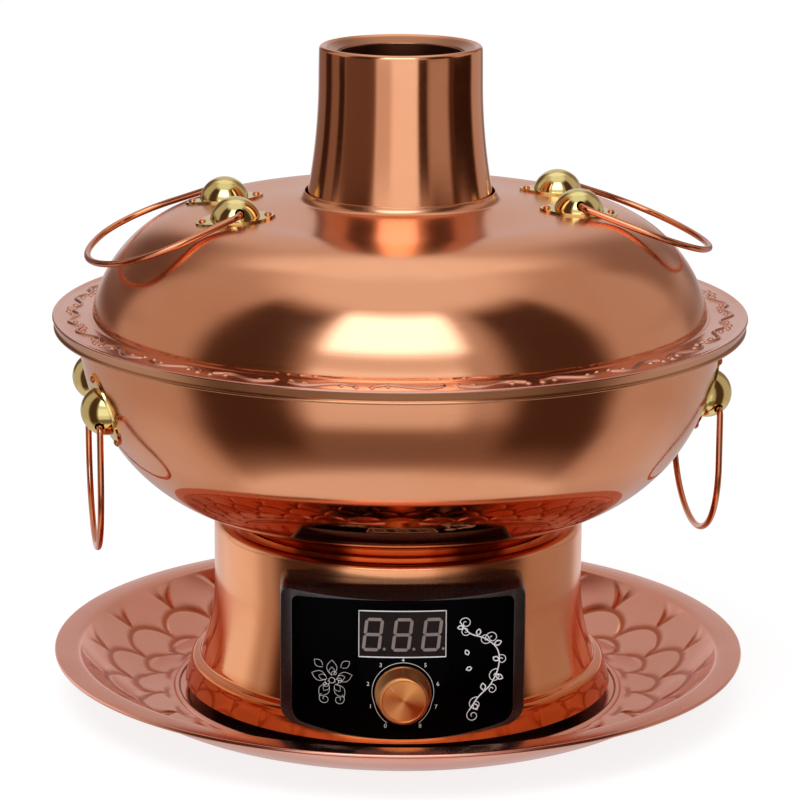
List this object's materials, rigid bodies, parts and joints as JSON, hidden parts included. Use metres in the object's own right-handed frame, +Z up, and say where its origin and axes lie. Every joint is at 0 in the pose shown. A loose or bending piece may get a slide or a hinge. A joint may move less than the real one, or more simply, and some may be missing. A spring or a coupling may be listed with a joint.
{
  "type": "chimney hot pot",
  "caption": "Electric copper hot pot with a central chimney, lift-off domed lid, swinging bail handles, heated base with a dial, and a wide drip tray.",
  "frame": {"origin": "on the floor, at the middle of the tray's underside", "axes": "+Z up, -Y towards the control panel and the user, +X to the user's right"},
  "size_m": [0.323, 0.323, 0.3046],
  "materials": {
    "copper_tray": "satin copper",
    "copper_satin": "satin copper",
    "copper_polished": "polished copper",
    "copper_wire": "polished copper",
    "brass": "polished brass",
    "panel_plastic": "dark brown, fine grain",
    "panel_face": "black gloss with printed pattern",
    "display": "smoked window with light frame",
    "knob": "satin copper",
    "steel": "satin",
    "aluminium": "cast, matt",
    "contact_brass": "plain",
    "black_plastic": "matt",
    "board": "solder-resist green",
    "rubber": "matt"
  },
  "bodies": {
    "tray": {"drip_tray": "copper_tray"},
    "base": {"base_shell": "copper_satin", "base_bottom_plate": "steel", "rubber_feet": "rubber", "base_chassis": "steel", "base_screws": "steel", "pot_seat_ring": "steel", "heating_plate": "aluminium", "heating_element": "steel", "heat_shield": "steel", "temperature_sensor": "steel", "panel_housing": "panel_plastic", "panel_screws": "steel", "panel_face": "panel_face", "display_module": "display", "control_board": "board", "dial_control": "black_plastic", "control_nut": "steel", "power_inlet": "black_plastic", "inlet_pins": "contact_brass", "inlet_screws": "steel"},
    "knob": {"control_shaft": "contact_brass", "control_knob": "knob"},
    "pot": {"pot_bowl": "copper_polished", "pot_rim": "copper_polished", "pot_foot_ring": "copper_polished", "inner_cone": "copper_polished", "chimney_tube": "copper_polished", "chimney_liner": "copper_polished", "pot_ear_left_front": "brass", "pot_ear_left_back": "brass", "pot_ear_right_front": "brass", "pot_ear_right_back": "brass", "pot_ear_rivets": "copper_wire"},
    "lid": {"lid_dome": "copper_polished", "lid_locating_ring": "copper_polished", "lid_ear_left_front": "brass", "lid_ear_left_back": "brass", "lid_ear_right_front": "brass", "lid_ear_right_back": "brass", "lid_ear_rivets": "copper_wire"},
    "pot_bail_left": {"pot_bail_left": "copper_wire"},
    "pot_bail_right": {"pot_bail_right": "copper_wire"},
    "lid_bail_left": {"lid_bail_left": "copper_wire"},
    "lid_bail_right": {"lid_bail_right": "copper_wire"}
  },
  "joints": [
    {"name": "base_lift", "type": "slide", "parent": "tray", "child": "base", "axis": [0, 0, 1], "range_m": [0, 0.06]},
    {"name": "knob_turn", "type": "hinge", "parent": "base", "child": "knob", "pos_m": [0, -0.104, 0.031], "axis": [0, 1, 0], "range_deg": [-114, 190]},
    {"name": "pot_lift", "type": "slide", "parent": "base", "child": "pot", "axis": [0, 0, 1], "range_m": [0, 0.08]},
    {"name": "lid_lift", "type": "slide", "parent": "pot", "child": "lid", "axis": [0, 0, 1], "range_m": [0, 0.14]},
    {"name": "pot_bail_left_swing", "type": "hinge", "parent": "pot", "child": "pot_bail_left", "pos_m": [-0.14064, -0.01727, 0.14073], "axis": [-0.1219, 0.9925, 0], "range_deg": [-35, 145]},
    {"name": "lid_bail_left_swing", "type": "hinge", "parent": "lid", "child": "lid_bail_left", "pos_m": [-0.07685, -0.00944, 0.23493], "axis": [-0.1219, 0.9925, 0], "range_deg": [0, 138]},
    {"name": "pot_bail_right_swing", "type": "hinge", "parent": "pot", "child": "pot_bail_right", "pos_m": [0.14064, 0.01727, 0.14073], "axis": [0.1219, -0.9925, 0], "range_deg": [-35, 145]},
    {"name": "lid_bail_right_swing", "type": "hinge", "parent": "lid", "child": "lid_bail_right", "pos_m": [0.07685, 0.00944, 0.23493], "axis": [0.1219, -0.9925, 0], "range_deg": [0, 138]}
  ]
}
